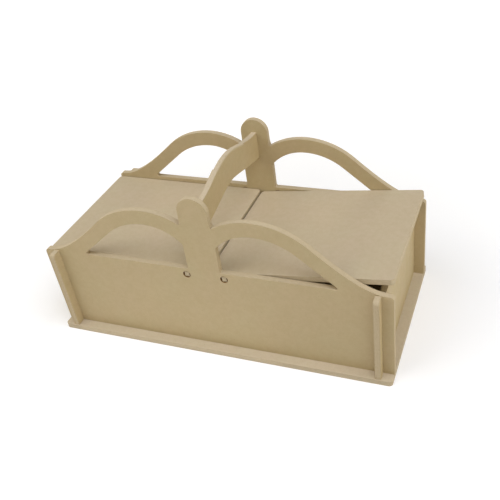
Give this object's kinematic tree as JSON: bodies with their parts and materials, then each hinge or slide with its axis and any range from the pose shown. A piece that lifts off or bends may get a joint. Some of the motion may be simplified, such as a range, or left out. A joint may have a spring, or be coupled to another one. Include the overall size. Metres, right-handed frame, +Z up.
{
  "type": "hinged lid carrying basket",
  "caption": "Long open-arched fiberboard carrying basket with a board handle across its middle and a flat lid hinged on each side of the handle.",
  "frame": {"origin": "middle of the base plate's underside, on the table", "axes": "+X along the basket to the right lid, -Y towards the front long side, +Z up"},
  "size_m": [0.38, 0.19, 0.19],
  "materials": {
    "fiberboard": "matte"
  },
  "bodies": {
    "box": {"base_plate": "fiberboard", "front_panel": "fiberboard", "back_panel": "fiberboard", "left_end_panel": "fiberboard", "right_end_panel": "fiberboard", "handle": "fiberboard"},
    "left_lid": {"left_lid": "fiberboard"},
    "right_lid": {"right_lid": "fiberboard"}
  },
  "joints": [
    {"name": "left_lid_hinge", "type": "hinge", "parent": "box", "child": "left_lid", "pos_m": [-0.0205, 0, 0.098], "axis": [0, 1, 0], "range_deg": [0, 95.5]},
    {"name": "right_lid_hinge", "type": "hinge", "parent": "box", "child": "right_lid", "pos_m": [0.0205, 0, 0.098], "axis": [0, -1, 0], "range_deg": [-6.7, 88.8]}
  ]
}
